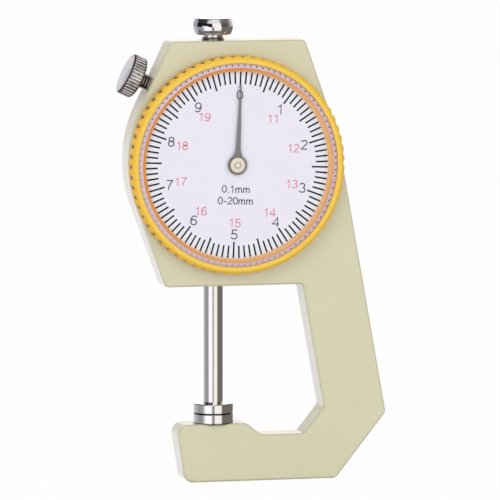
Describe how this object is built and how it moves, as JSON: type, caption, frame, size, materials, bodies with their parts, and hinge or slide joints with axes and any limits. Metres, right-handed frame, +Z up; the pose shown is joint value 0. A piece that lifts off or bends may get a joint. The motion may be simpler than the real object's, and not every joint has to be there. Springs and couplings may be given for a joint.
{
  "type": "dial thickness gauge",
  "caption": "Hand-held dial gauge with an open throat: a sprung spindle lifts off a fixed anvil and turns a pointer over a round dial in a knurled bezel.",
  "frame": {"origin": "centre of the anvil's measuring face, on the spindle's axis", "axes": "+Z up along the spindle, +X towards the arm, -Y out of the dial towards the reader"},
  "size_m": [0.0666, 0.0126, 0.1136],
  "materials": {
    "frame_paint": "matt beige-green enamel over cast metal",
    "screw_steel": "turned, bright",
    "brass": "turned",
    "contact_steel": "ground and lapped",
    "spindle_steel": "ground, bright",
    "chrome": "polished plating",
    "movement_steel": "turned",
    "spring_steel": "drawn wire",
    "pointer_grey": "grey, semi-matt",
    "cap_metal": "satin",
    "dial_face": "matt white with a lavender cast, printed scale",
    "bezel_yellow": "yellow finish, satin",
    "crystal_clear": "clear, bevelled edge"
  },
  "bodies": {
    "case": {"frame": "frame_paint", "back_cover": "frame_paint", "back_cover_screws": "screw_steel", "upper_bush": "brass", "lower_bush": "brass", "anvil": "contact_steel", "spring_post": "movement_steel", "return_spring": "spring_steel", "arbor_bush": "brass", "arbor_bridge": "brass", "bridge_screws": "screw_steel", "hairspring": "spring_steel", "hairspring_stud": "movement_steel", "bezel_wire": "spring_steel"},
    "spindle_set": {"spindle": "spindle_steel", "spindle_foot": "contact_steel", "lift_knob": "chrome", "rack": "movement_steel", "rack_pin": "movement_steel", "guide_pin": "movement_steel", "spring_pin": "movement_steel"},
    "pointer_set": {"pinion": "brass", "pointer_arbor": "movement_steel", "hairspring_collet": "brass", "pointer": "pointer_grey", "pointer_cap": "cap_metal"},
    "bezel_set": {"bezel": "bezel_yellow", "crystal": "crystal_clear", "dial": "dial_face"},
    "lock_pad": {"lock_pad": "brass"},
    "lock_screw": {"lock_screw": "chrome"}
  },
  "joints": [
    {"name": "spindle_lift", "type": "slide", "parent": "case", "child": "spindle_set", "axis": [0, 0, 1], "range_m": [0, 0.02], "stiffness_N_per_m": 50, "springref_m": -0.02, "deforming": ["return_spring"]},
    {"name": "pointer_turn", "type": "hinge", "parent": "case", "child": "pointer_set", "pos_m": [0.00475, 0, 0.0613], "axis": [0, 1, 0], "range_deg": [0, 720]},
    {"name": "bezel_turn", "type": "hinge", "parent": "case", "child": "bezel_set", "pos_m": [0.00475, -0.0056, 0.0613], "axis": [0, 1, 0], "continuous": true},
    {"name": "lock_advance", "type": "slide", "parent": "case", "child": "lock_pad", "axis": [0.9011, 0, -0.4337], "range_m": [-0.0014, 0.00035]},
    {"name": "lock_turn", "type": "hinge", "parent": "lock_pad", "child": "lock_screw", "pos_m": [0, 0, 0.07338], "axis": [0.9011, 0, -0.4337], "range_deg": [-720, 180]}
  ],
  "couplings": [
    {"joint": "pointer_turn", "follows": "spindle_lift", "rad_per_m": 628.32},
    {"joint": "lock_turn", "follows": "lock_advance", "rad_per_m": 8976}
  ]
}
